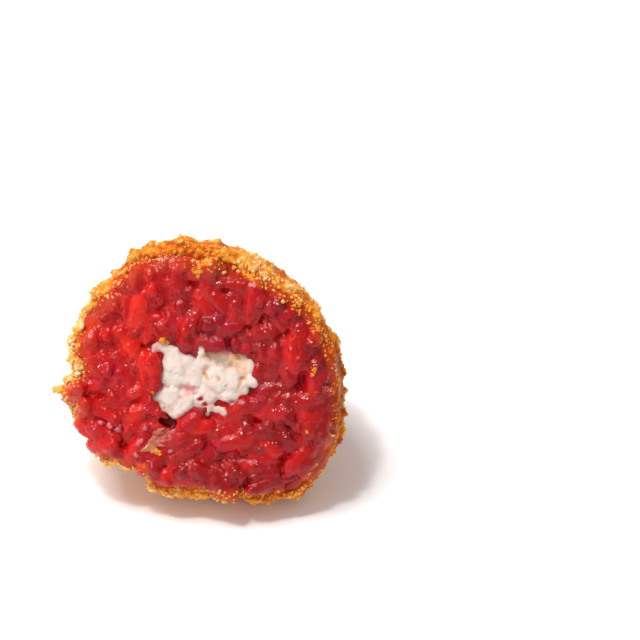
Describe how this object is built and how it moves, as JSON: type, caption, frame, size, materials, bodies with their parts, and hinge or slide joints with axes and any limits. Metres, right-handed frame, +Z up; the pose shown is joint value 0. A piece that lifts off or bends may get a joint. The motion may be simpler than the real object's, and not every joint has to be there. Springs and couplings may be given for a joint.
{
  "type": "arancini half",
  "caption": "Half of a breaded and fried beetroot risotto ball, resting on its round side, with red rice grains and a crumbly white cheese heart on its broken face.",
  "frame": {"origin": "on the floor, under the middle of the half ball's box", "axes": "+Z up; -Y towards the viewer, where the open face looks, leaning back 27 degrees; +X to the viewer's right"},
  "size_m": [0.0474, 0.0374, 0.0432],
  "materials": {
    "crust": "rough golden fried breadcrumbs",
    "rice": "moist beetroot risotto",
    "cheese": "crumbly fresh goat's cheese"
  },
  "bodies": {
    "root": {"breaded_risotto": "crust", "goats_cheese": "cheese"}
  },
  "joints": []
}
